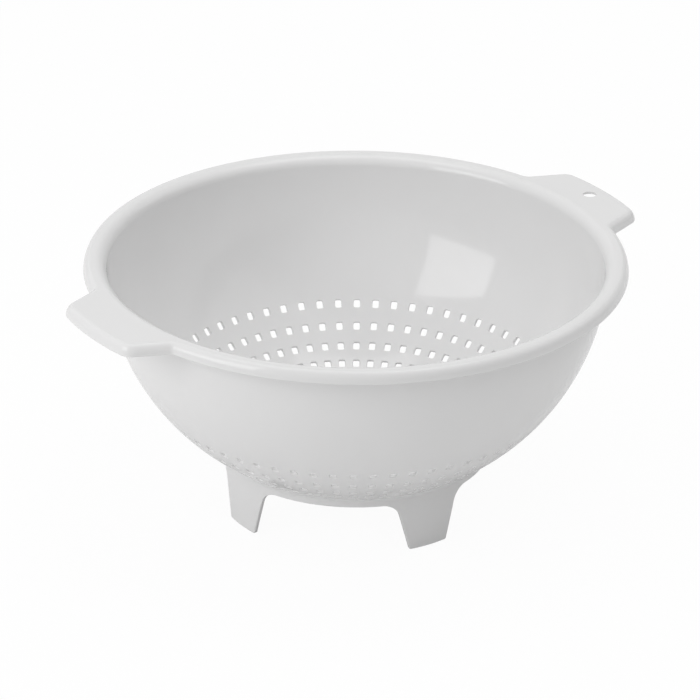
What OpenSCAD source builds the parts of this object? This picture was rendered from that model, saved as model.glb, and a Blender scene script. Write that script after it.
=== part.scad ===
// Round kitchen colander with a flat rim, two flat handles and a ring foot on four legs.
// The real one is a single plastic moulding, drawn here as the regions that meet face to face.
// The handles lie along X, the hanging hole is in the +X handle, and z = 0 is the table.

/* [Overall] */
// Diameter over the turned-down lip of the rim
rim_d = 260; // [220:1:310]
// Height from the table to the flat top of the rim
height = 126.5; // [105:0.5:150]
// Height of the underside of the bowl above the table
floor_clear = 12.75; // [10:0.25:16]
// Radius of the flat disc in the middle of the floor
floor_flat_r = 5.1; // [4:0.1:7]
// Thickness of the wall, the floor, the rim and the handles
wall_t = 1.7; // [1.4:0.1:2.2]

/* [Rim] */
// Radius of the rounded inner edge of the rim
shoulder_r = 5.5; // [4.5:0.1:7]
// Distance from the outside of the lip to where the flat top starts to round inwards
rim_flat_w = 5.6; // [5.2:0.1:7]
// Height of the turned-down lip, round the rim and the handles
lip_h = 5.6; // [4.6:0.1:7]
// Distance by which the lip spreads outwards on its way down
lip_flare = 2.4; // [1.8:0.1:2.8]
// Thickness of the turned-down lip
lip_t = 1.6; // [1.3:0.1:2]
// Radius of the outer top edge of the lip
edge_r = 1.1; // [0.9:0.05:1.3]

/* [Handles] */
// Reach of the handles beyond the rim
handle_reach = 17.6; // [14.5:0.1:21]
// Half the width of a handle where its sides meet the rim's outline
handle_root_half_w = 36.4; // [30:0.2:43]
// Angle by which each side of a handle draws in towards the outer edge, in degrees
handle_side_angle = 22; // [18:1:27]
// Radius of the outer corners of the handles, at the foot of the lip
handle_corner_r = 8; // [7:0.5:10]
// Radius of the inner corners where the handles leave the rim, at the foot of the lip
handle_root_r = 2.8; // [2:0.2:4]
// Diameter of the hanging hole
hang_hole_d = 6.4; // [5:0.1:8]
// Distance from the outer edge of the handle to the centre of the hanging hole
hang_hole_inset = 10.9; // [9.5:0.1:12.5]

/* [Holes] */
// Number of holes in each row of the wall
holes_per_row = 64; // [48:8:80]
// Width of a square hole, along its row
hole_w = 3.2; // [2.6:0.1:3.8]
// Length of a square hole, down the slope of the wall
hole_l = 3.9; // [3.2:0.1:4.6]
// Height of the top row of holes above the underside of the bowl
top_row_h = 44.4; // [37:0.2:53]
// Distance from one row of the wall to the next, as a share of the spacing of the holes along it
row_pitch_share = 1.25; // [1.1:0.05:1.4]
// Plain strip of wall above the top row of holes
band_margin = 6; // [5:0.5:7.5]
// Distance between the rings of holes in the floor
floor_pitch = 10; // [8.5:0.5:12]
// Distance from the foot ring to the outermost ring of holes in the floor
floor_margin = 6.8; // [5.5:0.1:8]
// Least spacing of the holes along a ring in the floor
floor_hole_spacing = 7; // [6:0.1:8.5]

/* [Foot] */
// Diameter over the foot ring
foot_d = 130; // [108:1:154]
// Thickness of the foot ring and the legs
foot_t = 2.2; // [1.8:0.1:2.7]
// Height of the foot ring between the legs, on its outer face
skirt_h = 4.4; // [3.6:0.1:5.3]
// Radius of the hollow blend between the foot ring and the bowl
blend_r = 4; // [3.3:0.1:4.8]
// Width of a leg on the table
leg_w = 20.8; // [17:0.2:25]
// Angle by which each side of a leg widens upwards, in degrees
leg_side_angle = 15.5; // [13:0.5:18]
// Radius of the arches between the legs and the foot ring
arch_r = 8.5; // [7:0.5:10]
// Size of the chamfer on the lower corners of the legs
leg_chamfer = 0.8; // [0.6:0.1:1]

/* [Hidden] */
$fn = 180;

// How far a cut runs past what it cuts
overrun = 1;
// Number of steps in the sloping lip of a handle, and in its rounded top edge
lip_steps = 6;
edge_steps = 4;
// Thickness left where the arch beside a leg runs out under the foot ring
arch_feather = 0.15;
// The rounding of the lip's edge crosses the faces beside it by this much, instead of only touching them
edge_feather = 0.01;

rim_r = rim_d / 2;
lip_bottom = height - lip_h;
lip_slope = atan2(lip_flare, lip_h);
// Thickness of the sloping lip, measured level
lip_w = lip_t / cos(lip_slope);
lip_reach = lip_flare + lip_w;
// The rim's flat top ends here, and the lip starts
flange_r = rim_r - lip_reach;
// Length that the round outer edge takes off the flat top
edge_run = edge_r * tan((90 - lip_slope) / 2);

// Centre of the rounded inner edge of the rim
shoulder_x = rim_r - rim_flat_w;
shoulder_z = height - shoulder_r;

// The section of the bowl is one arc. Its radius makes it run smoothly into the rounded edge.
arc_run = shoulder_x - floor_flat_r;
arc_rise = shoulder_z - floor_clear;
arc_step = shoulder_r - wall_t;
bowl_r = (pow(arc_run, 2) + pow(arc_rise, 2) - pow(arc_step, 2)) / (2 * (arc_rise + arc_step));
arc_x = floor_flat_r;
arc_z = floor_clear + bowl_r;
mid_r = bowl_r - wall_t / 2;

// Angles on that arc are measured from straight down
top_angle = 90 + atan2(shoulder_z - arc_z, arc_run);
foot_r = foot_d / 2;
foot_inner_r = foot_r - foot_t;
floor_angle = asin((foot_inner_r - arc_x) / bowl_r);
top_row_angle = acos((arc_z - floor_clear - top_row_h) / mid_r);
last_row_angle = asin((foot_r + hole_l / 2 - arc_x) / mid_r);
band_angle = top_row_angle + (hole_l / 2 + band_margin) / mid_r * 180 / PI;

// Half plan of a handle: outer arc, corner, straight side and hollow corner at the rim
handle_r = rim_r + handle_reach;
side_normal = [sin(handle_side_angle), cos(handle_side_angle)];
side_dir = 90 - handle_side_angle;
root_x = sqrt(pow(rim_r, 2) - pow(handle_root_half_w, 2));
side_dist = side_normal * [root_x, handle_root_half_w];
corner_angle = side_dir - acos((side_dist - handle_corner_r) / (handle_r - handle_corner_r));
corner_centre = (handle_r - handle_corner_r) * [cos(corner_angle), sin(corner_angle)];
root_angle = side_dir - acos((side_dist + handle_root_r) / (rim_r + handle_root_r));
root_centre = (rim_r + handle_root_r) * [cos(root_angle), sin(root_angle)];
side_start = root_centre - handle_root_r * side_normal;
// A point past the end of the handle, for what is cut off there
past_root = root_centre + handle_root_r * [-sin(root_angle), cos(root_angle)];
hang_hole_x = handle_r - hang_hole_inset;

// Foot ring: lower edge of the arches, and centre of the blend under the bowl
arch_top = arc_z - sqrt(pow(bowl_r, 2) - pow(foot_r - arc_x, 2)) - skirt_h;
blend_x = foot_r + blend_r;
blend_z = arc_z - sqrt(pow(bowl_r + blend_r, 2) - pow(blend_x - arc_x, 2));
blend_dir = atan2(arc_z - blend_z, arc_x - blend_x);

// Spacing of the holes along a row of the wall, at an angle of the arc
function row_x(angle) = arc_x + mid_r * sin(angle);
function row_spacing(angle) = 2 * PI * row_x(angle) / holes_per_row;
function next_row(angle) = angle - row_pitch_share * row_spacing(angle) / mid_r * 180 / PI;
// Rows step down the wall until they reach the foot ring
function rows_from(angle) = angle < last_row_angle ? [] : concat([angle], rows_from(next_row(angle)));
wall_rows = rows_from(top_row_angle);

// Rings of the floor keep to the columns of the wall, and halve their number where they get tight
floor_rings = [for (r = [foot_inner_r - floor_margin : -floor_pitch : floor_pitch]) r];
function halvings(r) = max(0, ceil(ln(holes_per_row * floor_hole_spacing / (2 * PI * r)) / ln(2)));
function ring_count(r) = floor(holes_per_row / pow(2, halvings(r)));
function ring_angle(r) = asin((r - arc_x) / mid_r);

module plastic() {
    color("#e8ebec")
        children();
}

// Slice of a section between two directions from a corner, out to a reach
module between(corner, first_dir, last_dir, reach) {
    middle_dir = (first_dir + last_dir) / 2;
    intersection() {
        children();
        polygon([
            corner,
            corner + reach * [cos(first_dir), sin(first_dir)],
            corner + reach * [cos(middle_dir), sin(middle_dir)],
            corner + reach * [cos(last_dir), sin(last_dir)]
        ]);
    }
}

// Section of the bowl between two angles from straight down
module arc_section(low_angle, high_angle) {
    between([arc_x, arc_z], low_angle - 90, high_angle - 90, 2 * bowl_r)
        translate([arc_x, arc_z])
            difference() {
                circle(r = bowl_r);
                circle(r = bowl_r - wall_t);
            }
}

// One square cutter, set through the wall at an angle of the arc
module hole_cutter(angle) {
    translate([row_x(angle), 0, arc_z - mid_r * cos(angle)])
        rotate([0, -angle, 0])
            cube([hole_l, hole_w, wall_t + 2 * overrun], center = true);
}

module hole_ring(angle, count) {
    for (turn = [0 : 360 / count : 360 - 180 / count])
        rotate([0, 0, turn])
            hole_cutter(angle);
}

// Section of the rim's lip: its foot is at x = 0, and the plastic on the -x side
module lip_section() {
    edge_centre = [-lip_flare - edge_run, height - edge_r];
    difference() {
        polygon([
            [0, lip_bottom],
            [-lip_flare, height],
            [-lip_reach, height],
            [-lip_reach, height - wall_t],
            [-lip_w - lip_flare * (lip_h - wall_t) / lip_h, height - wall_t],
            [-lip_w, lip_bottom]
        ]);
        between(edge_centre, lip_slope, 90, 2 * edge_r)
            translate(edge_centre)
                difference() {
                    circle(r = 2 * edge_r);
                    circle(r = edge_r + edge_feather);
                }
    }
}

module rim_flange() {
    plastic()
        rotate_extrude() {
            between([shoulder_x, shoulder_z], 90, 90 + top_angle, 2 * shoulder_r)
                translate([shoulder_x, shoulder_z])
                    difference() {
                        circle(r = shoulder_r);
                        circle(r = shoulder_r - wall_t);
                    }
            translate([shoulder_x, height - wall_t])
                square([flange_r - shoulder_x, wall_t]);
        }
}

module rim_lip(first_dir) {
    plastic()
        rotate([0, 0, first_dir + root_angle])
            rotate_extrude(angle = 180 - 2 * root_angle)
                translate([rim_r, 0])
                    lip_section();
}

// Plan of the handle on the +y side, drawn in from the outline by an inset
module handle_plan_half(inset) {
    far = 2 * handle_corner_r;
    dist = side_dist - inset;
    corner_out = corner_centre + far * [cos(corner_angle), sin(corner_angle)];
    difference() {
        intersection() {
            circle(r = handle_r - inset);
            polygon([[0, 0], [dist / side_normal[0], 0], [0, dist / side_normal[1]]]);
        }
        polygon([
            corner_centre,
            corner_out,
            corner_out + far * side_normal,
            corner_centre + far * side_normal
        ]);
    }
    translate(corner_centre)
        circle(r = handle_corner_r - inset);
    difference() {
        polygon([[0, 0], side_start - (inset + overrun) * side_normal, root_centre, past_root]);
        translate(root_centre)
            circle(r = handle_root_r + inset);
    }
}

// Slice of a handle between the rim's flat top and the ends of the rim's lip
module handle_slice(bottom, thickness) {
    end = 2 * handle_r * [cos(root_angle), sin(root_angle)];
    translate([0, 0, bottom])
        linear_extrude(thickness)
            intersection() {
                difference() {
                    children();
                    circle(r = flange_r);
                }
                polygon([[0, 0], end, [end[0], -end[1]]]);
            }
}

module handle_plan(inset) {
    handle_plan_half(inset);
    mirror([0, 1])
        handle_plan_half(inset);
}

// The sloping lip in steps, under a plate whose top edge is rounded in steps
module handle() {
    step_h = (lip_h - wall_t) / lip_steps;
    for (step = [0 : lip_steps - 1]) {
        inset = lip_flare * (step + 1 / 2) * step_h / lip_h;
        handle_slice(lip_bottom + step * step_h, step_h)
            difference() {
                handle_plan(inset);
                handle_plan(inset + lip_w);
            }
    }
    for (step = [0 : edge_steps]) {
        turn = lip_slope + (90 - lip_slope) * step / edge_steps;
        handle_slice(height - wall_t, wall_t - edge_r + edge_r * sin(turn))
            handle_plan(lip_flare + edge_run - edge_r * cos(turn));
    }
}

module handle_plain() {
    plastic()
        rotate([0, 0, 180])
            handle();
}

module handle_hanging() {
    plastic()
        difference() {
            handle();
            translate([hang_hole_x, 0, height - wall_t - overrun])
                cylinder(d = hang_hole_d, h = wall_t + 2 * overrun);
        }
}

module bowl_wall() {
    plastic()
        rotate_extrude()
            arc_section(band_angle, top_angle);
}

module strainer_wall() {
    plastic()
        difference() {
            rotate_extrude()
                arc_section(floor_angle, band_angle);
            for (angle = wall_rows)
                hole_ring(angle, holes_per_row);
        }
}

module strainer_floor() {
    plastic()
        difference() {
            rotate_extrude() {
                arc_section(0, floor_angle);
                translate([0, floor_clear])
                    square([floor_flat_r, wall_t]);
            }
            for (r = floor_rings)
                hole_ring(ring_angle(r), ring_count(r));
        }
}

// Section of the foot ring with the hollow blend on its outer face, up to the bowl
module foot_section() {
    difference() {
        union() {
            translate([foot_inner_r, arch_top])
                square([foot_t, arc_z - arch_top - bowl_r / 2]);
            difference() {
                polygon([
                    [foot_r, blend_z],
                    [blend_x, blend_z],
                    [blend_x, blend_z] + (blend_r + overrun) * [cos(blend_dir), sin(blend_dir)],
                    [foot_inner_r, arc_z - bowl_r / 2]
                ]);
                translate([blend_x, blend_z])
                    circle(r = blend_r);
            }
        }
        translate([arc_x, arc_z])
            circle(r = bowl_r);
    }
}

module foot_ring() {
    plastic()
        rotate_extrude()
            foot_section();
}

// Front view of half a leg, on the +x side of its middle line, running up past the foot ring's edge
module leg_outline_half() {
    half_w = leg_w / 2;
    arch_z = arch_top - arch_feather;
    top_w = half_w + arch_z * tan(leg_side_angle);
    side = [sin(leg_side_angle), cos(leg_side_angle)];
    // The arch starts this far from the corner that it rounds, along both of its edges
    arch_run = arch_r * tan((90 - leg_side_angle) / 2);
    arch_x = top_w + arch_run;
    difference() {
        polygon([
            [0, 0],
            [half_w - leg_chamfer, 0],
            [half_w, 0] + leg_chamfer * side,
            [top_w, arch_z] - arch_run * side,
            [arch_x, arch_z - arch_r],
            [arch_x, arch_top + overrun],
            [0, arch_top + overrun]
        ]);
        translate([arch_x, arch_z - arch_r])
            circle(r = arch_r);
    }
}

module leg(direction) {
    plastic()
        rotate([0, 0, direction])
            intersection() {
                rotate_extrude()
                    translate([foot_inner_r, -overrun])
                        square([foot_t, arch_top + overrun]);
                rotate([90, 0, 90])
                    linear_extrude(foot_d) {
                        leg_outline_half();
                        mirror([1, 0])
                            leg_outline_half();
                    }
            }
}

module rim_lip_front() {
    rim_lip(180);
}

module rim_lip_back() {
    rim_lip(0);
}

module leg_right() {
    leg(0);
}

module leg_back() {
    leg(90);
}

module leg_left() {
    leg(180);
}

module leg_front() {
    leg(270);
}

rim_flange();
rim_lip_front();
rim_lip_back();
handle_plain();
handle_hanging();
bowl_wall();
strainer_wall();
strainer_floor();
foot_ring();
leg_front();
leg_right();
leg_back();
leg_left();
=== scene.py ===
import math

import bpy
import numpy as np
from mathutils import Matrix, Vector
from mathutils.geometry import delaunay_2d_cdt


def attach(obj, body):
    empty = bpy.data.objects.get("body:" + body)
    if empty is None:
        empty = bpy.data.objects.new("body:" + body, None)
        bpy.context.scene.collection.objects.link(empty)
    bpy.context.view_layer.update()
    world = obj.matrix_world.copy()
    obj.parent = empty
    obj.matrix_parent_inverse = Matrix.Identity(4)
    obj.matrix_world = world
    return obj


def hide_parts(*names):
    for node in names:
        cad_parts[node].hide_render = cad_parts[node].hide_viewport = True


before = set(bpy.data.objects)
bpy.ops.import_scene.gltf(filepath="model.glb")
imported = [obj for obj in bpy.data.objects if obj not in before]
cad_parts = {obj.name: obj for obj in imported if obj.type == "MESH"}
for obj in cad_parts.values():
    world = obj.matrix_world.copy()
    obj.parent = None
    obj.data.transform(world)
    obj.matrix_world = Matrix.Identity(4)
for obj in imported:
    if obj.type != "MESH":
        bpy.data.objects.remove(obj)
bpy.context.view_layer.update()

MM = 0.001
QUARTER = math.pi / 2

# Sizes of the part in millimetres, the same as in the CAD source
RIM_R = 130.0
HEIGHT = 126.5
FLOOR_CLEAR = 12.75
FLOOR_FLAT_R = 5.1
WALL_T = 1.7
SHOULDER_R = 5.5
RIM_FLAT_W = 5.6
LIP_H = 5.6
LIP_FLARE = 2.4
LIP_T = 1.6
HANDLE_REACH = 17.6
HANDLE_ROOT_HALF_W = 36.4
HANDLE_SIDE_ANGLE = math.radians(22)
HANDLE_CORNER_R = 8.0
HANDLE_ROOT_R = 2.8
HANG_HOLE_R = 3.2
HANG_HOLE_INSET = 10.9
HOLES_PER_ROW = 64
HOLE_W = 3.2
HOLE_L = 3.9
TOP_ROW_H = 44.4
ROW_PITCH_SHARE = 1.25
BAND_MARGIN = 6.0
FLOOR_PITCH = 10.0
FLOOR_MARGIN = 6.8
FLOOR_HOLE_SPACING = 7.0
FOOT_R = 65.0
FOOT_T = 2.2
SKIRT_H = 4.4
BLEND_R = 4.0
LEG_W = 20.8
LEG_SIDE_ANGLE = math.radians(15.5)
ARCH_R = 8.5

# Small roundings that only the visual model has
HOLE_CORNER_R = 0.75
HOLE_EDGE_R = 0.42
LIP_FOOT_R = 0.5
LIP_FILLET_R = 0.8
BORE_EDGE_R = 0.35
BORE_FOOT_R = 1.1
FOOT_EDGE_R = 0.5
FOOT_FILLET_R = 1.0
LEG_CORNER_R = 1.0
# The lip's outer face is a quarter of an ellipse that reaches this far in from the outline
LIP_ROUND_W = 3.7
# The legs end this far above the rounded lower edge of the foot ring
LEG_CUT_GAP = 0.3

# Steps that round and straight stretches are cut into
STEPS_PER_COLUMN = 6
TURN_STEPS = HOLES_PER_ROW * STEPS_PER_COLUMN
ARC_STEP = math.radians(1.2)
EDGE_STEPS = 3
FLOOR_CENTRE_STEPS = 3
SHOULDER_STEPS = 16
LIP_ROUND_STEPS = 14
LIP_FOOT_STEPS = 5
LIP_INNER_STEPS = 4
HANDLE_END_STEPS = 16
HANDLE_CORNER_STEPS = 14
HANDLE_SIDE_STEPS = 6
HANDLE_ROOT_STEPS = 12
HANDLE_SEAM_STEPS = 36
BORE_STEPS = 48
BORE_EDGE_STEPS = 4
BORE_FOOT_STEPS = 8
BLEND_STEPS = 10
FOOT_FILLET_STEPS = 6
RING_STEPS_AT_LEG = 42
RING_STEPS_BETWEEN = 48
LEG_BASE_STEPS = 8
LEG_CORNER_STEPS = 8
LEG_SIDE_STEPS = 6
ARCH_STEPS = 24

# Points closer than these are one point: in the mesh, along a section and in the cutting of a flat face
WELD_MM = 1e-4
SAME_POINT_MM = 1e-9
FLAT_MM = 1e-6
# Triangles whose middle is inside the mouth of a hole by this much are left out
MOUTH_SLACK_MM = 0.01

# Values that follow from the sizes, as in the CAD source
SHOULDER_X = RIM_R - RIM_FLAT_W
SHOULDER_Z = HEIGHT - SHOULDER_R
UNDER_RIM_Z = HEIGHT - WALL_T
ARC_RUN = SHOULDER_X - FLOOR_FLAT_R
ARC_RISE = SHOULDER_Z - FLOOR_CLEAR
ARC_GAP = SHOULDER_R - WALL_T
BOWL_R = (ARC_RUN**2 + ARC_RISE**2 - ARC_GAP**2) / (2 * (ARC_RISE + ARC_GAP))
INNER_R = BOWL_R - WALL_T
MID_R = BOWL_R - WALL_T / 2
ARC_X = FLOOR_FLAT_R
ARC_Z = FLOOR_CLEAR + BOWL_R
LIP_BOTTOM = HEIGHT - LIP_H
LIP_SLOPE = math.atan2(LIP_FLARE, LIP_H)
FOOT_INNER_R = FOOT_R - FOOT_T
TOP_SLOPE = QUARTER + math.atan2(SHOULDER_Z - ARC_Z, ARC_RUN)
FLOOR_SLOPE = math.asin((FOOT_INNER_R - ARC_X) / BOWL_R)
TOP_ROW_SLOPE = math.acos((ARC_Z - FLOOR_CLEAR - TOP_ROW_H) / MID_R)
LAST_ROW_SLOPE = math.asin((FOOT_R + HOLE_L / 2 - ARC_X) / MID_R)
BAND_SLOPE = TOP_ROW_SLOPE + (HOLE_L / 2 + BAND_MARGIN) / MID_R

HANDLE_R = RIM_R + HANDLE_REACH
SIDE_DIR = QUARTER - HANDLE_SIDE_ANGLE
SIDE_NORMAL = np.array([math.cos(SIDE_DIR), math.sin(SIDE_DIR)])
ROOT_X = math.sqrt(RIM_R**2 - HANDLE_ROOT_HALF_W**2)
SIDE_DIST = float(SIDE_NORMAL @ [ROOT_X, HANDLE_ROOT_HALF_W])
CORNER_REACH = HANDLE_R - HANDLE_CORNER_R
CORNER_ANGLE = SIDE_DIR - math.acos((SIDE_DIST - HANDLE_CORNER_R) / CORNER_REACH)
ROOT_REACH = RIM_R + HANDLE_ROOT_R
ROOT_ANGLE = SIDE_DIR - math.acos((SIDE_DIST + HANDLE_ROOT_R) / ROOT_REACH)
HANG_HOLE_X = HANDLE_R - HANG_HOLE_INSET
# The lip's inner face leans in upwards, square to this direction
LIP_OUT = np.array([math.cos(LIP_SLOPE), math.sin(LIP_SLOPE)])
LIP_W = LIP_T / LIP_OUT[0]
FILLET_RUN = LIP_FILLET_R * math.tan((QUARTER - LIP_SLOPE) / 2)
INNER_CORNER = LIP_W + LIP_FLARE * (LIP_H - WALL_T) / LIP_H
# The lip pieces and the handles meet the rest of the rim this far inside the outline
SEAM_INSET = INNER_CORNER + FILLET_RUN
SEAM_R = RIM_R - SEAM_INSET

ARCH_TOP = ARC_Z - math.sqrt(BOWL_R**2 - (FOOT_R - ARC_X) ** 2) - SKIRT_H
BLEND_X = FOOT_R + BLEND_R
BLEND_Z = ARC_Z - math.sqrt((BOWL_R + BLEND_R) ** 2 - (BLEND_X - ARC_X) ** 2)
ARCH_RUN = ARCH_R * math.tan((QUARTER - LEG_SIDE_ANGLE) / 2)
LEG_TOP_W = LEG_W / 2 + ARCH_TOP * math.tan(LEG_SIDE_ANGLE)
ARCH_X = LEG_TOP_W + ARCH_RUN
LEG_CUT_Z = ARCH_TOP + FOOT_EDGE_R + LEG_CUT_GAP
LEG_TURN = math.asin(ARCH_X / FOOT_R)


# ---------- mesh building ----------

def unit(v):
    v = np.asarray(v, float)
    return v / np.linalg.norm(v, axis=-1, keepdims=True)


def arc(centre, radius, first, last, steps, inward=False):
    """Points of an arc in a plane as rows of x, y, nx, ny, with the normal away from the centre or inward."""
    a = np.linspace(first, last, steps + 1)
    n = np.stack([np.cos(a), np.sin(a)], -1)
    return np.hstack([np.asarray(centre) + radius * n, -n if inward else n])


def line(first, last, normal, steps=1):
    t = np.linspace(0, 1, steps + 1)[:, None]
    points = np.asarray(first) * (1 - t) + np.asarray(last) * t
    return np.hstack([points, np.tile(unit(normal), (steps + 1, 1))])


def round_z(points, turn):
    """The same points turned round Z."""
    c, s = math.cos(turn), math.sin(turn)
    return points @ np.array([[c, s, 0], [-s, c, 0], [0, 0, 1]])


def loop_points(runs):
    """The points of a section's runs, without those that repeat where two runs meet."""
    loop = np.vstack([run[:, :2] for run in runs])
    steps = np.abs(np.diff(loop, axis=0)).max(1)
    return loop[np.concatenate([[True], steps > SAME_POINT_MM])]


class Skin:
    """A closed piece in the making: faces with the exact normal of the surface at each of their corners."""

    def __init__(self):
        self.points, self.normals, self.quads, self.others, self.count = [], [], [], [], 0

    def keep(self, points, normals):
        points = np.asarray(points, float).reshape(-1, 3)
        self.points.append(points)
        self.normals.append(np.broadcast_to(normals, points.shape).reshape(-1, 3))
        self.count += len(points)
        return self.count - len(points)

    def grid(self, points, normals):
        """A patch of rows and columns of points."""
        points = np.asarray(points, float)
        rows, columns = points.shape[:2]
        normals = np.broadcast_to(normals, points.shape)
        first = self.keep(points, normals.reshape(-1, 3))
        i = first + np.arange(rows * columns).reshape(rows, columns)
        self.quads.append(
            np.stack([i[:-1, :-1], i[:-1, 1:], i[1:, 1:], i[1:, :-1]], -1).reshape(-1, 4)
        )

    def face(self, points, normal):
        """One flat face with any number of corners."""
        first = self.keep(points, normal)
        self.others.append(list(range(first, self.count)))

    def triangles(self, points, normal, corners):
        first = self.keep(points, normal)
        self.others += [[first + k for k in t] for t in corners]

    def turn(self, angle):
        """Turns all that was made so far round Z."""
        self.points = [round_z(p, angle) for p in self.points]
        self.normals = [round_z(n, angle) for n in self.normals]

    def faces(self, welded, index, normals):
        """Corners and sizes of all faces, each turned the way its normals point. Those with no area go."""
        quads = np.vstack(self.quads)
        a, b, c, d = (welded[index[quads[:, k]]] for k in range(4))
        facing = (np.cross(c - a, d - b) * normals[quads].sum(1)).sum(-1)
        quads[facing < 0] = quads[facing < 0][:, ::-1]
        corners, sizes = [], []
        same = index[quads] == index[np.roll(quads, 1, axis=1)]
        for q, s in zip(quads[same.any(1)], same[same.any(1)]):
            if s.sum() == 1:
                corners.append(q[~s])
                sizes.append(3)
        whole = quads[~same.any(1)]
        corners.append(whole.reshape(-1))
        sizes += [4] * len(whole)
        for f in self.others:
            p = welded[index[f]]
            area = sum(np.cross(p[k] - p[0], p[k + 1] - p[0]) for k in range(1, len(p) - 1))
            f = f if area @ normals[f[0]] > 0 else f[::-1]
            f = [k for k, before in zip(f, f[-1:] + f[:-1]) if index[k] != index[before]]
            if len(f) > 2:
                corners.append(np.array(f))
                sizes.append(len(f))
        return np.concatenate(corners), np.array(sizes)

    def build(self, name, material):
        """The finished object, with points that coincide welded."""
        points, normals = np.vstack(self.points), np.vstack(self.normals)
        places = np.round(points / WELD_MM).astype(np.int64)
        _, first, index = np.unique(places, axis=0, return_index=True, return_inverse=True)
        index = index.reshape(-1)
        welded = points[first]
        corners, sizes = self.faces(welded, index, normals)
        mesh = bpy.data.meshes.new(name)
        mesh.vertices.add(len(welded))
        mesh.vertices.foreach_set("co", (welded * MM).astype(np.float32).ravel())
        mesh.loops.add(len(corners))
        mesh.loops.foreach_set("vertex_index", index[corners].astype(np.int32))
        mesh.polygons.add(len(sizes))
        starts = np.concatenate([[0], np.cumsum(sizes)[:-1]])
        mesh.polygons.foreach_set("loop_start", starts.astype(np.int32))
        mesh.polygons.foreach_set("use_smooth", np.ones(len(sizes), bool))
        mesh.update(calc_edges=True)
        mesh.validate()
        mesh.normals_split_custom_set(unit(normals[corners]).tolist())
        mesh.materials.append(material)
        piece = bpy.data.objects.new(name, mesh)
        bpy.context.scene.collection.objects.link(piece)
        return piece


def turned(section, first=0.0, last=2 * math.pi, steps=TURN_STEPS):
    """Points and normals of a run of a section, rows of r, z, nr, nz, turned round Z."""
    turns = first + (last - first) * np.arange(steps + 1) / steps
    if last - first == 2 * math.pi:
        turns[-1] = turns[0]
    c, s = np.cos(turns)[None, :], np.sin(turns)[None, :]
    r, z, nr, nz = (section[:, k][:, None] for k in range(4))
    points = np.stack([r * c, r * s, z + 0 * c], -1)
    normals = np.stack([nr * c, nr * s, nz + 0 * c], -1)
    return points, normals


def revolve(skin, section, *span):
    skin.grid(*turned(section, *span))


def flat_region(skin, loops, z, up, hole=None):
    """A level face inside the first loop, closed runs of x, y. Hole is the x and radius of a mouth in it."""
    points = np.vstack(loops)
    edges, start = [], 0
    for loop in loops:
        n = len(loop)
        edges += [(start + k, start + (k + 1) % n) for k in range(n)]
        start += n
    made = delaunay_2d_cdt([Vector(p) for p in points], edges, [], 1, FLAT_MM)
    back = [ids[0] for ids in made[3]]
    kept = []
    for t in made[2]:
        ids = [back[k] for k in t]
        x, y = points[ids].mean(0)
        if hole is None or math.hypot(x - hole[0], y) > hole[1] - MOUTH_SLACK_MM:
            kept.append(ids)
    level = np.hstack([points, np.full((len(points), 1), z)])
    skin.triangles(level, [0, 0, up], kept)


# ---------- bowl ----------

def wall_points(turn, slope, radius):
    reach = ARC_X + radius * np.sin(slope)
    return np.stack([reach * np.cos(turn), reach * np.sin(turn), ARC_Z - radius * np.cos(slope)], -1)


def wall_normals(turn, slope):
    return np.stack([np.sin(slope) * np.cos(turn), np.sin(slope) * np.sin(turn), -np.cos(slope)], -1)


def bowl_arc(first, last, radius, sign):
    """Section of the bowl's inner (sign -1) or outer (sign 1) face between two slopes."""
    steps = max(1, math.ceil(abs(last - first) / ARC_STEP))
    a = np.linspace(first, last, steps + 1)
    at = [ARC_X + radius * np.sin(a), ARC_Z - radius * np.cos(a)]
    return np.stack([*at, sign * np.sin(a), -sign * np.cos(a)], -1)


def bowl_band(skin, first, last):
    """Both faces of the wall between two slopes, with no holes."""
    revolve(skin, bowl_arc(first, last, INNER_R, -1))
    revolve(skin, bowl_arc(first, last, BOWL_R, 1))


def bowl_cut(skin, slope, sign):
    """The face across the wall where one piece of it ends."""
    normal = [sign * math.cos(slope), sign * math.sin(slope)]
    inner, outer = (bowl_arc(slope, slope, r, 1)[0, :2] for r in (INNER_R, BOWL_R))
    revolve(skin, line(inner, outer, normal))


def square_run(along, up):
    """A square run round once. Along and up are shares from -1 to 1 on its lower and its right side."""
    one_along, one_up = np.ones(len(along)), np.ones(len(up))
    return (
        np.concatenate([along, one_up, -along, -one_up]),
        np.concatenate([-one_along, up, one_along, -up]),
    )


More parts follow.
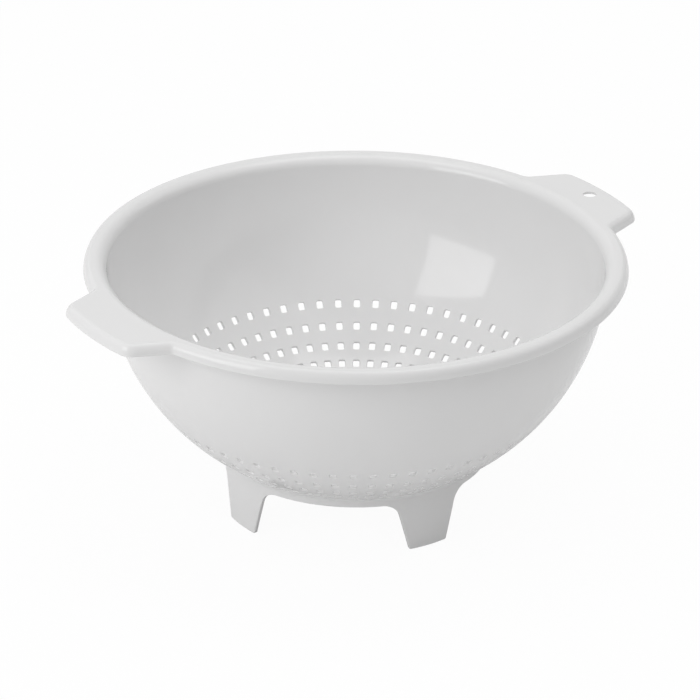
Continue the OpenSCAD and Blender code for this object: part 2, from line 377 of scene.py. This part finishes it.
def hole_cells(skin, slope, low, high, columns):
    """A ring of cells of wall between two slopes, each with one rounded square hole through it."""
    along = TURN_STEPS // columns
    f_along, f_up = np.arange(along) / along, np.arange(STEPS_PER_COLUMN) / STEPS_PER_COLUMN
    border_u, border_v = square_run(2 * f_along - 1, 2 * f_up - 1)
    border = (border_u * math.pi / columns, (low + high) / 2 + border_v * (high - low) / 2)
    # Outline of the hole and its outward direction, in millimetres along and up the wall
    half_size = np.array([HOLE_W / 2, HOLE_L / 2])
    square = np.stack(square_run(-np.cos(math.pi * f_along), -np.cos(math.pi * f_up)), -1) * half_size
    core = np.clip(square, -(half_size - HOLE_CORNER_R), half_size - HOLE_CORNER_R)
    out = unit(square - core)

    def outline(grow):
        """Turn and slope of the hole's outline, grown all round."""
        flat = core + (HOLE_CORNER_R + grow) * out
        v = slope + flat[:, 1] / MID_R
        return flat[:, 0] / (ARC_X + MID_R * np.sin(v)), v

    def ring(u, v, radius, tip, sign):
        """Points and normals round the hole. Tip is 0 on the wall's own face and 1 inside the hole."""
        around = np.stack([-np.sin(u), np.cos(u), 0 * u], -1)
        rising = np.stack([np.cos(v) * np.cos(u), np.cos(v) * np.sin(u), np.sin(v)], -1)
        side = out[:, :1] * around + out[:, 1:] * rising
        a = tip * QUARTER
        return wall_points(u, v, radius), math.cos(a) * sign * wall_normals(u, v) - math.sin(a) * side

    def mouth(face_r, sign):
        """Rings from the border of the cell over one face of the wall and into the hole."""
        edge = outline(HOLE_EDGE_R)
        rings = []
        for share in (1.0, 0.5, 0.0):
            u, v = (share * b + (1 - share) * e for b, e in zip(border, edge))
            rings.append(ring(u, v, face_r, 0.0, sign))
        for k in range(1, EDGE_STEPS + 1):
            a = k / EDGE_STEPS * QUARTER
            u, v = outline(HOLE_EDGE_R * (1 - math.sin(a)))
            depth = HOLE_EDGE_R * (1 - math.cos(a))
            rings.append(ring(u, v, face_r - sign * depth, k / EDGE_STEPS, sign))
        return rings

    rings = mouth(INNER_R, -1) + mouth(BOWL_R, 1)[::-1]
    points, normals = (np.stack(some) for some in zip(*rings))
    points = np.concatenate([points, points[:, :1]], 1)
    normals = np.concatenate([normals, normals[:, :1]], 1)
    for k in range(columns):
        turn = 2 * math.pi * k / columns
        skin.grid(round_z(points, turn), round_z(normals, turn))


def wall_rows():
    rows, slope = [], TOP_ROW_SLOPE
    while slope >= LAST_ROW_SLOPE:
        rows.append(slope)
        spacing = 2 * math.pi * (ARC_X + MID_R * math.sin(slope)) / HOLES_PER_ROW
        slope -= ROW_PITCH_SHARE * spacing / MID_R
    return rows


def make_bowl_wall(skin):
    bowl_band(skin, BAND_SLOPE, TOP_SLOPE)
    bowl_cut(skin, BAND_SLOPE, -1)
    bowl_cut(skin, TOP_SLOPE, 1)


def make_strainer_wall(skin):
    rows = wall_rows()
    between = [(a + b) / 2 for a, b in zip(rows, rows[1:])]
    top = min(rows[0] + (rows[0] - between[0]), BAND_SLOPE)
    bottom = max(rows[-1] - (between[-1] - rows[-1]), FLOOR_SLOPE)
    borders = [top, *between, bottom]
    for slope, high, low in zip(rows, borders, borders[1:]):
        hole_cells(skin, slope, low, high, HOLES_PER_ROW)
    bowl_band(skin, top, BAND_SLOPE)
    bowl_band(skin, FLOOR_SLOPE, bottom)
    bowl_cut(skin, BAND_SLOPE, 1)
    bowl_cut(skin, FLOOR_SLOPE, -1)


def make_strainer_floor(skin):
    rings, r = [], FOOT_INNER_R - FLOOR_MARGIN
    while r >= FLOOR_PITCH:
        rings.append(r)
        r -= FLOOR_PITCH

    def slope_of(radius):
        return math.asin((radius - ARC_X) / MID_R)

    borders = [slope_of(rings[0] + FLOOR_PITCH / 2)] + [slope_of(r - FLOOR_PITCH / 2) for r in rings]
    for r, high, low in zip(rings, borders, borders[1:]):
        crowding = HOLES_PER_ROW * FLOOR_HOLE_SPACING / (2 * math.pi * r)
        halvings = max(0, math.ceil(math.log2(crowding)))
        hole_cells(skin, slope_of(r), low, high, HOLES_PER_ROW // 2**halvings)
    bowl_band(skin, borders[0], FLOOR_SLOPE)
    bowl_band(skin, 0.0, borders[-1])
    bowl_cut(skin, FLOOR_SLOPE, 1)
    for radius, up in ((INNER_R, 1), (BOWL_R, -1)):
        z = ARC_Z - radius
        revolve(skin, line([0, z], [ARC_X, z], [0, up], FLOOR_CENTRE_STEPS))


# ---------- rim and handles ----------

def make_rim_flange(skin):
    centre = (SHOULDER_X, SHOULDER_Z)
    last = QUARTER + TOP_SLOPE
    revolve(skin, line([SEAM_R, HEIGHT], [SHOULDER_X, HEIGHT], [0, 1]))
    revolve(skin, arc(centre, SHOULDER_R, QUARTER, last, SHOULDER_STEPS))
    revolve(skin, arc(centre, ARC_GAP, QUARTER, last, SHOULDER_STEPS, inward=True))
    revolve(skin, line([SHOULDER_X, UNDER_RIM_Z], [SEAM_R, UNDER_RIM_Z], [0, -1]))
    revolve(skin, line([SEAM_R, UNDER_RIM_Z], [SEAM_R, HEIGHT], [1, 0]))
    bowl_cut(skin, TOP_SLOPE, -1)


def ellipse_foot(rounds=20):
    """Where the rounding of the lip's foot starts on the ellipse: there both have the same direction."""
    low = 0.0
    for _ in range(rounds):
        direction = math.atan(LIP_ROUND_W / LIP_H * math.tan(low))
        low = math.asin(LIP_FOOT_R * (1 + math.sin(direction)) / LIP_H)
    return low


def lip_section():
    """Runs of the lip's section from the top seam round to the seam below, as rows of offset, z and normal.
    Offsets, and the normal's first part, count outwards from the outline, so all offsets are 0 or less."""
    foot = LIP_FOOT_R
    fillet = np.array([-INNER_CORNER - FILLET_RUN, UNDER_RIM_Z - LIP_FILLET_R])
    t = np.linspace(QUARTER, ellipse_foot(), LIP_ROUND_STEPS + 1)
    at = np.stack([LIP_ROUND_W * (np.cos(t) - 1), LIP_BOTTOM + LIP_H * np.sin(t)], -1)
    out = unit(np.stack([np.cos(t) / LIP_ROUND_W, np.sin(t) / LIP_H], -1))
    outer_foot = at[-1] - foot * out[-1]
    foot_dir = math.atan2(out[-1][1], out[-1][0])
    inner_run = foot * math.tan((QUARTER - LIP_SLOPE) / 2)
    inner_foot = np.array([-LIP_W + inner_run, LIP_BOTTOM + foot])
    return [
        line([-SEAM_INSET, HEIGHT], [-LIP_ROUND_W, HEIGHT], [0, 1]),
        np.hstack([at, out]),
        arc(outer_foot, foot, foot_dir, -QUARTER, LIP_FOOT_STEPS),
        line([outer_foot[0], LIP_BOTTOM], [inner_foot[0], LIP_BOTTOM], [0, -1]),
        arc(inner_foot, foot, -QUARTER, LIP_SLOPE - math.pi, LIP_INNER_STEPS),
        line(inner_foot - foot * LIP_OUT, fillet + LIP_FILLET_R * LIP_OUT, -LIP_OUT),
        arc(fillet, LIP_FILLET_R, LIP_SLOPE, QUARTER, LIP_INNER_STEPS, inward=True),
    ]


def sweep_lip(skin, outline):
    """The lip swept along an outline in plan, rows of x, y, nx, ny."""
    at, out = outline[:, :2], outline[:, 2:]
    level = np.ones((len(at), 1))
    for run in lip_section():
        offset, z, outward, upward = (run[:, k][:, None, None] for k in range(4))
        points = np.concatenate([at + offset * out, z * level], -1)
        normals = np.concatenate([outward * out, upward * level], -1)
        skin.grid(points, normals)


def lip_end(skin, outline_row, facing):
    """The flat face that ends the lip, and the direction that it faces."""
    at, out = outline_row[:2], outline_row[2:]
    loop = loop_points(lip_section())
    skin.face(np.hstack([at + loop[:, :1] * out, loop[:, 1:]]), facing)


def seam_wall(skin, seam):
    """The upright face, rows of x, y, nx, ny, where the lip or a handle meets the flat of the rim."""
    top = np.full((len(seam), 1), HEIGHT)
    wall = np.stack([np.hstack([seam[:, :2], top]), np.hstack([seam[:, :2], top - WALL_T])])
    skin.grid(wall, np.hstack([-seam[:, 2:], 0 * top])[None])


def make_rim_lip(start):
    """The lip between the ends of the handles, from a direction round half a turn."""

    def make(skin):
        steps = int(TURN_STEPS * (math.pi - 2 * ROOT_ANGLE) / (2 * math.pi))
        first, last = start + ROOT_ANGLE, start + math.pi - ROOT_ANGLE
        outline = arc((0, 0), RIM_R, first, last, steps)
        sweep_lip(skin, outline)
        seam_wall(skin, arc((0, 0), SEAM_R, first, last, steps))
        lip_end(skin, outline[0], [math.sin(first), -math.cos(first), 0])
        lip_end(skin, outline[-1], [-math.sin(last), math.cos(last), 0])

    return make


def handle_outline():
    """Plan of a handle from one end of the rim's lip to the other, as rows of x, y, nx, ny."""
    corner = CORNER_REACH * np.array([math.cos(CORNER_ANGLE), math.sin(CORNER_ANGLE)])
    root = ROOT_REACH * np.array([math.cos(ROOT_ANGLE), math.sin(ROOT_ANGLE)])
    side_start = root - HANDLE_ROOT_R * SIDE_NORMAL
    side_end = corner + HANDLE_CORNER_R * SIDE_NORMAL
    root_arc = (root, HANDLE_ROOT_R, SIDE_DIR - math.pi, ROOT_ANGLE - math.pi)
    half = np.vstack([
        arc((0, 0), HANDLE_R, 0, CORNER_ANGLE, HANDLE_END_STEPS),
        arc(corner, HANDLE_CORNER_R, CORNER_ANGLE, SIDE_DIR, HANDLE_CORNER_STEPS)[1:],
        line(side_end, side_start, SIDE_NORMAL, HANDLE_SIDE_STEPS)[1:],
        arc(*root_arc, HANDLE_ROOT_STEPS, inward=True)[1:],
    ])
    mirrored = half[:0:-1] * [1, -1, 1, -1]
    return np.vstack([mirrored, half])


def make_handle(direction, hanging):
    """A handle with its own lip, made at +X and turned, with or without the hanging hole."""

    def make(skin):
        outline = handle_outline()
        sweep_lip(skin, outline)
        inset = outline[:, :2] - SEAM_INSET * outline[:, 2:]
        first = math.atan2(inset[0, 1], inset[0, 0])
        seam = arc((0, 0), SEAM_R, first, -first, HANDLE_SEAM_STEPS)
        seam_wall(skin, seam)
        lip_end(skin, outline[0], [-math.sin(ROOT_ANGLE), -math.cos(ROOT_ANGLE), 0])
        lip_end(skin, outline[-1], [-math.sin(ROOT_ANGLE), math.cos(ROOT_ANGLE), 0])
        plate = np.vstack([inset, seam[-2:0:-1, :2]])
        top_r, under_r = HANG_HOLE_R + BORE_EDGE_R, HANG_HOLE_R + BORE_FOOT_R
        if hanging:
            bore = np.vstack([
                arc((top_r, HEIGHT - BORE_EDGE_R), BORE_EDGE_R, QUARTER, math.pi, BORE_EDGE_STEPS),
                arc((under_r, UNDER_RIM_Z + BORE_FOOT_R), BORE_FOOT_R, math.pi, 3 * QUARTER, BORE_FOOT_STEPS),
            ])
            points, normals = turned(bore, steps=BORE_STEPS)
            skin.grid(points + [HANG_HOLE_X, 0, 0], normals)
        for mouth_r, z, up in ((top_r, HEIGHT, 1), (under_r, UNDER_RIM_Z, -1)):
            if hanging:
                mouth = arc((HANG_HOLE_X, 0), mouth_r, 0, 2 * math.pi, BORE_STEPS)[:-1, :2]
                flat_region(skin, [plate, mouth], z, up, (HANG_HOLE_X, mouth_r))
            else:
                flat_region(skin, [plate], z, up)
        skin.turn(direction)

    return make


# ---------- foot ring and legs ----------

def ring_sections():
    """Runs of the foot ring's section above the level of the legs, and of its lower edge between them."""
    turn_in = math.atan2(ARC_Z - BLEND_Z, ARC_X - BLEND_X)
    fillet_x = FOOT_INNER_R - FOOT_FILLET_R
    fillet_z = ARC_Z - math.sqrt((BOWL_R + FOOT_FILLET_R) ** 2 - (fillet_x - ARC_X) ** 2)
    fillet_dir = math.atan2(ARC_Z - fillet_z, ARC_X - fillet_x)
    outer_slope = math.atan2(BLEND_X - ARC_X, ARC_Z - BLEND_Z)
    inner_slope = math.atan2(fillet_x - ARC_X, ARC_Z - fillet_z)
    upper = [
        line([FOOT_R, LEG_CUT_Z], [FOOT_R, BLEND_Z], [1, 0]),
        arc((BLEND_X, BLEND_Z), BLEND_R, math.pi, turn_in, BLEND_STEPS, inward=True),
        bowl_arc(outer_slope, inner_slope, BOWL_R, -1),
        arc((fillet_x, fillet_z), FOOT_FILLET_R, fillet_dir, 0, FOOT_FILLET_STEPS, inward=True),
        line([FOOT_INNER_R, fillet_z], [FOOT_INNER_R, LEG_CUT_Z], [-1, 0]),
    ]
    low, edge = ARCH_TOP + FOOT_EDGE_R, FOOT_EDGE_R
    lower = [
        line([FOOT_INNER_R, LEG_CUT_Z], [FOOT_INNER_R, low], [-1, 0]),
        arc((FOOT_INNER_R + edge, low), edge, math.pi, 3 * QUARTER, EDGE_STEPS),
        line([FOOT_INNER_R + edge, ARCH_TOP], [FOOT_R - edge, ARCH_TOP], [0, -1]),
        arc((FOOT_R - edge, low), edge, -QUARTER, 0, EDGE_STEPS),
        line([FOOT_R, low], [FOOT_R, LEG_CUT_Z], [1, 0]),
    ]
    return upper, lower


def section_end(skin, runs, turn, facing):
    """The flat face that ends a section turned round Z. Facing is 1 or -1, with or against the turn."""
    loop = loop_points(runs)
    points = np.stack([loop[:, 0] * math.cos(turn), loop[:, 0] * math.sin(turn), loop[:, 1]], -1)
    skin.face(points, [-facing * math.sin(turn), facing * math.cos(turn), 0])


def make_foot_ring(skin):
    upper, lower = ring_sections()
    level = line([FOOT_INNER_R, LEG_CUT_Z], [FOOT_R, LEG_CUT_Z], [0, -1])
    for k in range(4):
        centre = k * QUARTER
        leg = (centre - LEG_TURN, centre + LEG_TURN, RING_STEPS_AT_LEG)
        between = (centre + LEG_TURN, centre + QUARTER - LEG_TURN, RING_STEPS_BETWEEN)
        for span in (leg, between):
            for run in upper:
                revolve(skin, run, *span)
        revolve(skin, level, *leg)
        for run in lower:
            revolve(skin, run, *between)
        section_end(skin, lower, between[0], -1)
        section_end(skin, lower, between[1], 1)


def leg_outline():
    """Lower outline of a leg with its two arches, seen from outside, as rows of y, z, ny, nz."""
    run = LEG_CORNER_R * math.tan((QUARTER - LEG_SIDE_ANGLE) / 2)
    side = np.array([math.sin(LEG_SIDE_ANGLE), math.cos(LEG_SIDE_ANGLE)])
    side_out = np.array([side[1], -side[0]])
    corner = np.array([LEG_W / 2 - run, LEG_CORNER_R])
    arch = np.array([ARCH_X, ARCH_TOP - ARCH_R])
    side_first = corner + LEG_CORNER_R * side_out
    side_last = np.array([LEG_TOP_W, ARCH_TOP]) - ARCH_RUN * side
    half = np.vstack([
        line([0, 0], [LEG_W / 2 - run, 0], [0, -1], LEG_BASE_STEPS),
        arc(corner, LEG_CORNER_R, -QUARTER, -LEG_SIDE_ANGLE, LEG_CORNER_STEPS)[1:],
        line(side_first, side_last, side_out, LEG_SIDE_STEPS)[1:],
        arc(arch, ARCH_R, math.pi - LEG_SIDE_ANGLE, QUARTER, ARCH_STEPS, inward=True)[1:],
    ])
    mirrored = half[:0:-1] * [-1, 1, -1, 1]
    return np.vstack([mirrored, half])


def make_leg(direction):
    """A leg with half an arch on each side, made at +X and turned."""

    def make(skin):
        outline = leg_outline()

        def placed(inset, depth):
            """Points and turns of the outline, drawn in, at a depth below the ring's outer face."""
            flat = outline[:, :2] - inset * outline[:, 2:]
            turn = np.arcsin(flat[:, 0] / FOOT_R)
            turn[0], turn[-1] = -LEG_TURN, LEG_TURN
            r = FOOT_R - depth
            return np.stack([r * np.cos(turn), r * np.sin(turn), flat[:, 1]], -1), turn

        def facing(turn, radial, share):
            """Normals that lean by a share of a quarter turn from radial to the outline's own direction."""
            around = np.stack([-np.sin(turn), np.cos(turn), 0 * turn], -1)
            up = outline[:, 3:] / np.cos(turn)[:, None] * [[0, 0, 1]]
            own = unit(outline[:, 2:3] * around + up)
            face = radial * np.stack([np.cos(turn), np.sin(turn), 0 * turn], -1)
            a = share * QUARTER
            return math.cos(a) * face + math.sin(a) * own

        def leg_face(radial, face_depth):
            """Rings from the leg's upper end down one face and round its edge."""
            points, turn = placed(FOOT_EDGE_R, face_depth)
            points[:, 2] = LEG_CUT_Z
            rings = [(points, facing(turn, radial, 0))]
            for k in range(EDGE_STEPS + 1):
                a = k / EDGE_STEPS * QUARTER
                inset = FOOT_EDGE_R * (1 - math.sin(a))
                points, turn = placed(inset, face_depth + radial * FOOT_EDGE_R * (1 - math.cos(a)))
                rings.append((points, facing(turn, radial, k / EDGE_STEPS)))
            return rings

        rings = leg_face(1, 0.0) + leg_face(-1, FOOT_T)[::-1]
        points, normals = (np.stack(some) for some in zip(*rings))
        skin.grid(points, normals)
        skin.grid(np.stack([points[0], points[-1]]), [0, 0, 1])
        skin.face(points[:, 0], [-math.sin(LEG_TURN), -math.cos(LEG_TURN), 0])
        skin.face(points[:, -1], [-math.sin(LEG_TURN), math.cos(LEG_TURN), 0])
        skin.turn(direction)

    return make


# ---------- material ----------

DARKER_WHITE = (0.790, 0.788, 0.788)
LIGHTER_WHITE = (0.804, 0.802, 0.802)
GLOSSIEST, ROUGHEST = 0.07, 0.11
PLASTIC_IOR = 1.49
GRAIN_STRENGTH = 0.05
GRAIN_DEPTH = 0.0001


def plastic():
    """White moulded polypropylene: a hint of cloudiness, a glossy skin and a fine grain."""
    material = bpy.data.materials.new("white_plastic")
    material.use_nodes = True
    nodes, links = material.node_tree.nodes, material.node_tree.links
    shader = nodes["Principled BSDF"]
    place = nodes.new("ShaderNodeTexCoord")

    def noise(scale, detail, rough=0.5):
        node = nodes.new("ShaderNodeTexNoise")
        node.inputs["Scale"].default_value = scale
        node.inputs["Detail"].default_value = detail
        node.inputs["Roughness"].default_value = rough
        links.new(place.outputs["Object"], node.inputs["Vector"])
        return node.outputs["Fac"]

    cloud = nodes.new("ShaderNodeValToRGB")
    stops = ((0.3, DARKER_WHITE), (0.7, LIGHTER_WHITE))
    for element, (position, colour) in zip(cloud.color_ramp.elements, stops):
        element.position = position
        element.color = (*colour, 1)
    links.new(noise(scale=14, detail=3), cloud.inputs["Fac"])
    links.new(cloud.outputs["Color"], shader.inputs["Base Color"])
    gloss = nodes.new("ShaderNodeMapRange")
    gloss.inputs["To Min"].default_value = GLOSSIEST
    gloss.inputs["To Max"].default_value = ROUGHEST
    links.new(noise(scale=60, detail=4, rough=0.6), gloss.inputs["Value"])
    links.new(gloss.outputs["Result"], shader.inputs["Roughness"])
    grain = nodes.new("ShaderNodeBump")
    grain.inputs["Strength"].default_value = GRAIN_STRENGTH
    grain.inputs["Distance"].default_value = GRAIN_DEPTH
    links.new(noise(scale=900, detail=3), grain.inputs["Height"])
    links.new(grain.outputs["Normal"], shader.inputs["Normal"])
    shader.inputs["IOR"].default_value = PLASTIC_IOR
    return material


PLASTIC = plastic()
MAKERS = {
    "rim_flange": make_rim_flange,
    "rim_lip_front": make_rim_lip(math.pi),
    "rim_lip_back": make_rim_lip(0.0),
    "handle_plain": make_handle(math.pi, False),
    "handle_hanging": make_handle(0.0, True),
    "bowl_wall": make_bowl_wall,
    "strainer_wall": make_strainer_wall,
    "strainer_floor": make_strainer_floor,
    "foot_ring": make_foot_ring,
    "leg_right": make_leg(0.0),
    "leg_back": make_leg(QUARTER),
    "leg_left": make_leg(math.pi),
    "leg_front": make_leg(3 * QUARTER),
}
for node, make in MAKERS.items():
    skin = Skin()
    make(skin)
    piece = skin.build(node + "_moulding", PLASTIC)
    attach(piece, "root")
    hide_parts(node)


# ---------- camera, with lengths in metres ----------

PHOTO_W = 700
FOCAL_LENGTH_IN_PIXELS = 5318.32
SENSOR_W = 36
VIEW_AZIMUTH = math.radians(-33.4)
VIEW_ELEVATION = 0.42758755
VIEW_ROLL = 0.00693482
VIEW_DISTANCE = 2.53544
NEAREST, FARTHEST = 0.05, 50
# The camera stands off from the middle of the rim, and looks past it by this much to the right and upwards
RIM_CORE_Z = 0.1235
LOOK_RIGHT, LOOK_UP = -0.0025939, -0.0466080


def away(azimuth, elevation):
    """A direction by its azimuth from the camera's, positive to the right, and its elevation, in degrees."""
    around, above = math.radians(azimuth) + VIEW_AZIMUTH, math.radians(elevation)
    level = math.cos(above)
    return Vector((math.sin(around) * level, -math.cos(around) * level, math.sin(above)))


def add_camera():
    rim_core = Vector((0, 0, RIM_CORE_Z))
    target = rim_core + away(90, 0) * LOOK_RIGHT + Vector((0, 0, LOOK_UP))
    position = rim_core + away(0, math.degrees(VIEW_ELEVATION)) * VIEW_DISTANCE
    forward = (target - position).normalized()
    side = forward.cross(Vector((0, 0, 1))).normalized()
    up = side.cross(forward)
    rolled_side = side * math.cos(VIEW_ROLL) + up * math.sin(VIEW_ROLL)
    rolled_up = up * math.cos(VIEW_ROLL) - side * math.sin(VIEW_ROLL)
    axes = Matrix((rolled_side, rolled_up, -forward)).transposed().to_4x4()
    axes.translation = position
    camera = bpy.data.objects.new("camera", bpy.data.cameras.new("camera"))
    camera.data.lens = FOCAL_LENGTH_IN_PIXELS / PHOTO_W * SENSOR_W
    camera.data.sensor_width = SENSOR_W
    camera.data.clip_start, camera.data.clip_end = NEAREST, FARTHEST
    camera.matrix_world = axes
    bpy.context.scene.collection.objects.link(camera)
    bpy.context.scene.camera = camera


add_camera()


# ---------- floor and light ----------

FLOOR_HALF_W = 6.0
FLOOR_WHITE = 0.94
# Share of white glow that the camera sees in the floor. The rest shows the object's shadow.
FLOOR_GLOW = 0.95
SKY_LEVEL = 0.685
# A dark flag low on the right keeps the light off that side. Its edge is the cosine from its middle.
FLAG_LEVEL = 0.1
FLAG_DIRECTION = (70, -12)
FLAG_EDGE = 0.2
LAMP_AIM_Z = 0.08


def white_floor():
    """Pale paper, which the camera sees as nearly pure white."""
    material = bpy.data.materials.new("studio_floor")
    material.use_nodes = True
    nodes, links = material.node_tree.nodes, material.node_tree.links
    nodes.remove(nodes["Principled BSDF"])
    paper = nodes.new("ShaderNodeBsdfDiffuse")
    paper.inputs["Color"].default_value = (FLOOR_WHITE, FLOOR_WHITE, FLOOR_WHITE, 1)
    glow = nodes.new("ShaderNodeEmission")
    glow.inputs["Strength"].default_value = 1.0
    mix = nodes.new("ShaderNodeMixShader")
    ray = nodes.new("ShaderNodeLightPath")
    seen = nodes.new("ShaderNodeMath")
    seen.operation = "MULTIPLY"
    seen.inputs[1].default_value = FLOOR_GLOW
    links.new(ray.outputs["Is Camera Ray"], seen.inputs[0])
    links.new(seen.outputs[0], mix.inputs["Fac"])
    links.new(paper.outputs[0], mix.inputs[1])
    links.new(glow.outputs[0], mix.inputs[2])
    links.new(mix.outputs[0], nodes["Material Output"].inputs["Surface"])
    return material


def add_floor():
    mesh = bpy.data.meshes.new("floor")
    half = FLOOR_HALF_W
    corners = [(-half, -half, 0), (half, -half, 0), (half, half, 0), (-half, half, 0)]
    mesh.from_pydata(corners, [], [(0, 1, 2, 3)])
    mesh.materials.append(white_floor())
    floor = bpy.data.objects.new("floor", mesh)
    bpy.context.scene.collection.objects.link(floor)


def add_sky():
    """White all round, and darker towards the flag."""
    world = bpy.data.worlds.new("studio")
    bpy.context.scene.world = world
    world.use_nodes = True
    nodes, links = world.node_tree.nodes, world.node_tree.links
    sky = nodes["Background"]
    sky.inputs["Color"].default_value = (1, 1, 1, 1)
    direction = nodes.new("ShaderNodeTexCoord")
    facing_flag = nodes.new("ShaderNodeVectorMath")
    facing_flag.operation = "DOT_PRODUCT"
    facing_flag.inputs[1].default_value = away(*FLAG_DIRECTION)
    level = nodes.new("ShaderNodeMapRange")
    level.interpolation_type = "SMOOTHSTEP"
    level.inputs["From Min"].default_value = FLAG_EDGE
    level.inputs["From Max"].default_value = 1.0
    level.inputs["To Min"].default_value = SKY_LEVEL
    level.inputs["To Max"].default_value = FLAG_LEVEL
    links.new(direction.outputs["Generated"], facing_flag.inputs[0])
    links.new(facing_flag.outputs["Value"], level.inputs["Value"])
    links.new(level.outputs["Result"], sky.inputs["Strength"])


def softbox(name, azimuth, elevation, distance, size, power, face_turn=(0, 0), roll=0):
    """A rectangular lamp that faces the object from a direction. Face_turn is how far its face then turns
    away, to the right and upwards, and roll turns it about its own axis, all in degrees."""
    lamp = bpy.data.lights.new(name, "AREA")
    lamp.shape = "RECTANGLE"
    lamp.size, lamp.size_y = size
    lamp.energy = power
    face = away(azimuth + face_turn[0], elevation + face_turn[1])
    level = Vector((0, 0, 1)).cross(face).normalized()
    across = level * math.cos(math.radians(roll)) + face.cross(level) * math.sin(math.radians(roll))
    place = Matrix((across, face.cross(across), face)).transposed().to_4x4()
    place.translation = Vector((0, 0, LAMP_AIM_Z)) + away(azimuth, elevation) * distance
    thing = bpy.data.objects.new(name, lamp)
    thing.matrix_world = place
    bpy.context.scene.collection.objects.link(thing)


add_floor()
add_sky()
softbox(
    "key_softbox", -64.3, 25.3, distance=1.3, size=(1.133, 0.515), power=4.2,
    face_turn=(55.9, -7), roll=-7.3,
)
softbox("top_softbox", 180, 85, distance=1.5, size=(1.3, 0.65), power=3.3)
softbox("fill_softbox", 92, 57, distance=1.5, size=(1.8, 1.8), power=4.4)

bpy.context.scene.view_settings.view_transform = "Standard"
